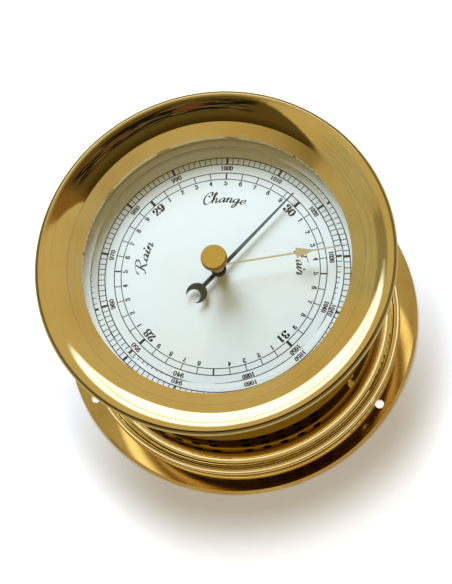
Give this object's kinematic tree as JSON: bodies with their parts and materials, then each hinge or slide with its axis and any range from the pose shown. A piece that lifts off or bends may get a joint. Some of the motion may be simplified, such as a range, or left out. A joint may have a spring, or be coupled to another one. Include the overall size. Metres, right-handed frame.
{
  "type": "barometer",
  "caption": "Round brass ship's barometer: flanged deep case with vents, screw-on flared bezel, bevelled glass, white dial, dark pressure hand and a brass set hand turned by a knob.",
  "frame": {"origin": "centre of the flat back face of the mounting flange, which rests on the wall or the table", "axes": "+Z out of the back through the dial to the knob, +Y to the top of the dial, +X to its right as seen from the front"},
  "size_m": [0.2159, 0.2158, 0.1205],
  "materials": {
    "polished_brass": "polished and lacquered brass, mirror bright",
    "turned_brass": "turned brass, satin",
    "lacquered_brass": "bright lacquered brass of the knob and set hand",
    "movement_brass": "brushed brass of the movement",
    "steel": "bright steel of screws, arbor and levers",
    "capsule_bronze": "thin phosphor bronze of capsule and hairspring",
    "black_paint": "dark grey-black painted hand",
    "white_dial": "matt white painted dial with black printed scales",
    "glass": "clear flat glass with a bevelled edge",
    "seal_rubber": "black rubber seal"
  },
  "bodies": {
    "case": {"base_plate": "polished_brass", "base_screws": "steel", "foot_ring": "polished_brass", "case_shell": "polished_brass", "dial_seat_ring": "turned_brass", "dial": "white_dial", "dial_plate": "movement_brass", "dial_screws": "steel", "centre_tube": "lacquered_brass", "movement_base": "movement_brass", "pillars": "movement_brass", "upper_pillar_screws": "steel", "lower_pillar_screws": "steel", "arbor_bridge": "movement_brass", "arbor_foot_bush": "movement_brass", "bridge_pillars": "movement_brass", "bridge_screws": "steel", "capsule_lower_half": "capsule_bronze", "capsule_upper_half": "capsule_bronze", "capsule_foot": "movement_brass", "capsule_nut": "movement_brass", "main_spring": "steel", "spring_screws": "steel", "rocker_bracket": "movement_brass", "hairspring": "capsule_bronze", "hairspring_stud": "movement_brass"},
    "seal": {"bezel_seal": "seal_rubber"},
    "bezel": {"bezel": "polished_brass", "bezel_screw_ring": "turned_brass", "crystal": "glass", "crystal_gasket": "seal_rubber", "reflector_ring": "turned_brass", "spindle_bush": "lacquered_brass", "spindle_bush_nut": "lacquered_brass"},
    "set_hand": {"set_knob": "lacquered_brass", "set_spindle": "lacquered_brass", "set_hand": "lacquered_brass", "set_hand_collet": "lacquered_brass", "spindle_end_screw": "steel"},
    "pointer": {"pressure_hand": "black_paint", "hand_hub": "black_paint", "hand_collet": "black_paint", "pointer_arbor": "steel", "chain_drum": "movement_brass", "hairspring_collet": "movement_brass"},
    "lever": {"main_lever": "steel", "lever_screws": "steel", "lever_pin": "movement_brass", "capsule_post": "movement_brass", "post_pin": "steel"},
    "link": {"link_rod": "movement_brass"},
    "rocker": {"rocking_shaft": "steel", "crank_arm": "movement_brass", "chain_arm": "movement_brass", "crank_pin": "steel", "chain_hook_pin": "steel"},
    "chain": {"chain": "steel"},
    "adjuster": {"adjusting_screw": "steel"}
  },
  "joints": [
    {"name": "bezel_rise", "type": "slide", "parent": "case", "child": "seal", "axis": [0, 0, 1], "range_m": [0, 0.00452]},
    {"name": "bezel_turn", "type": "hinge", "parent": "seal", "child": "bezel", "pos_m": [0, 0, 0.1], "axis": [0, 0, 1], "range_deg": [0, 1080]},
    {"name": "set_hand_turn", "type": "hinge", "parent": "bezel", "child": "set_hand", "pos_m": [0, 0, 0.11], "axis": [0, 0, 1], "continuous": true},
    {"name": "pressure_turn", "type": "hinge", "parent": "case", "child": "pointer", "pos_m": [0, 0, 0.085], "axis": [0, 0, 1], "range_deg": [-121.9, 197.1], "stiffness_Nm_per_rad": 0.0001, "deforming": ["hairspring"]},
    {"name": "lever_turn", "type": "hinge", "parent": "case", "child": "lever", "pos_m": [0.035, 0, 0.05795], "axis": [0, 1, 0], "range_deg": [-0.73, 1.16], "deforming": ["main_spring", "capsule_upper_half", "capsule_lower_half"]},
    {"name": "link_swing", "type": "hinge", "parent": "lever", "child": "link", "pos_m": [-0.034, 0, 0.0696], "axis": [0, 1, 0], "range_deg": [-1.16, 0.73]},
    {"name": "rocker_turn", "type": "hinge", "parent": "case", "child": "rocker", "pos_m": [-0.04, 0, 0.062], "axis": [0, 1, 0], "range_deg": [-13.16, 8.15]},
    {"name": "chain_swing", "type": "hinge", "parent": "rocker", "child": "chain", "pos_m": [-0.04, 0, 0.08], "axis": [0, 1, 0], "range_deg": [-8.15, 13.16]},
    {"name": "adjusting_turn", "type": "hinge", "parent": "case", "child": "adjuster", "pos_m": [0.041, 0, 0.045], "axis": [0, 0, 1], "range_deg": [-720, 720]}
  ],
  "couplings": [
    {"joint": "bezel_rise", "follows": "bezel_turn", "m_per_rad": 0.00023873},
    {"joint": "rocker_turn", "follows": "pressure_turn", "ratio": -0.066667},
    {"joint": "chain_swing", "follows": "pressure_turn", "ratio": 0.066667},
    {"joint": "lever_turn", "follows": "pressure_turn", "ratio": 0.0057971},
    {"joint": "link_swing", "follows": "pressure_turn", "ratio": -0.0057971}
  ]
}
